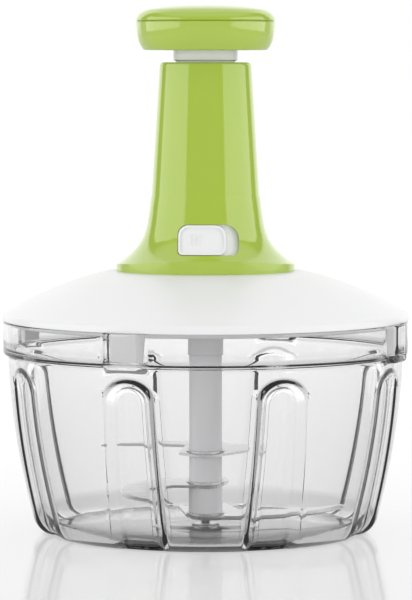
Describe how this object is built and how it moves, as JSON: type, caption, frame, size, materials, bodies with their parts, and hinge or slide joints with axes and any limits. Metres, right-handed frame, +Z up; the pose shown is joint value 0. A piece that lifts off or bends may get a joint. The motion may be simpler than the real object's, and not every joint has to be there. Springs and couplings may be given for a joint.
{
  "type": "hand-press food chopper",
  "caption": "Hand-press food chopper: a push knob drives a spiral rod that spins a stem of curved blades inside a clear lidded bowl.",
  "frame": {"origin": "middle of the bowl's flat underside, on the turning axis", "axes": "+Z up along the turning axis, -Y to the front where the lock button is, +X to the right"},
  "size_m": [0.1796, 0.1796, 0.2324],
  "materials": {
    "green_plastic": "glossy moulded apple green",
    "white_plastic": "satin gloss white",
    "clear_plastic": "clear polished plastic, faintly smoky",
    "stem_plastic": "light grey moulded plastic",
    "blade_steel": "stainless sheet with ground edges",
    "bright_steel": "plated screws, pins and rod",
    "spring_steel": "bare spring wire",
    "bearing_plastic": "natural acetal"
  },
  "bodies": {
    "bowl": {"bowl": "clear_plastic"},
    "lid": {"lid": "white_plastic", "handle_column": "green_plastic", "guide_bush": "bearing_plastic", "body_screws": "bright_steel", "drive_housing": "white_plastic", "housing_cap": "white_plastic", "thrust_washer": "bright_steel", "return_spring": "spring_steel", "lock_plate": "white_plastic"},
    "plunger": {"plunger_tube": "white_plastic", "knob_base": "green_plastic", "knob_cap": "green_plastic", "knob_screws": "bright_steel", "spiral_rod": "bright_steel", "rod_pin": "bright_steel"},
    "lock": {"lock_button": "white_plastic", "lock_latch": "bearing_plastic", "lock_screw": "bright_steel"},
    "drive": {"drive_nut": "bearing_plastic", "drive_socket": "stem_plastic"},
    "blades": {"stem_core": "bearing_plastic", "stem_sleeve": "stem_plastic", "spacer_upper": "stem_plastic", "spacer_lower": "stem_plastic", "blade_upper": "blade_steel", "blade_middle": "blade_steel", "blade_lower": "blade_steel", "end_cap": "stem_plastic", "pivot_pin": "bright_steel"}
  },
  "joints": [
    {"name": "lid_lift", "type": "slide", "parent": "bowl", "child": "lid", "axis": [0, 0, 1], "range_m": [0, 0.1]},
    {"name": "plunger_slide", "type": "slide", "parent": "lid", "child": "plunger", "axis": [0, 0, 1], "range_m": [0, 0.055], "deforming": ["return_spring"]},
    {"name": "lock_turn", "type": "hinge", "parent": "lid", "child": "lock", "pos_m": [0, 0, 0.125], "axis": [0, 0, 1], "range_deg": [0, 9]},
    {"name": "drive_spin", "type": "hinge", "parent": "lid", "child": "drive", "pos_m": [0, 0, 0.1], "axis": [0, 0, 1], "range_deg": [0, 620]},
    {"name": "blade_spin", "type": "hinge", "parent": "bowl", "child": "blades", "pos_m": [0, 0, 0.05], "axis": [0, 0, 1], "range_deg": [0, 620]}
  ],
  "couplings": [
    {"joint": "drive_spin", "follows": "plunger_slide", "rad_per_m": 196.35},
    {"joint": "blade_spin", "follows": "plunger_slide", "rad_per_m": 196.35}
  ]
}
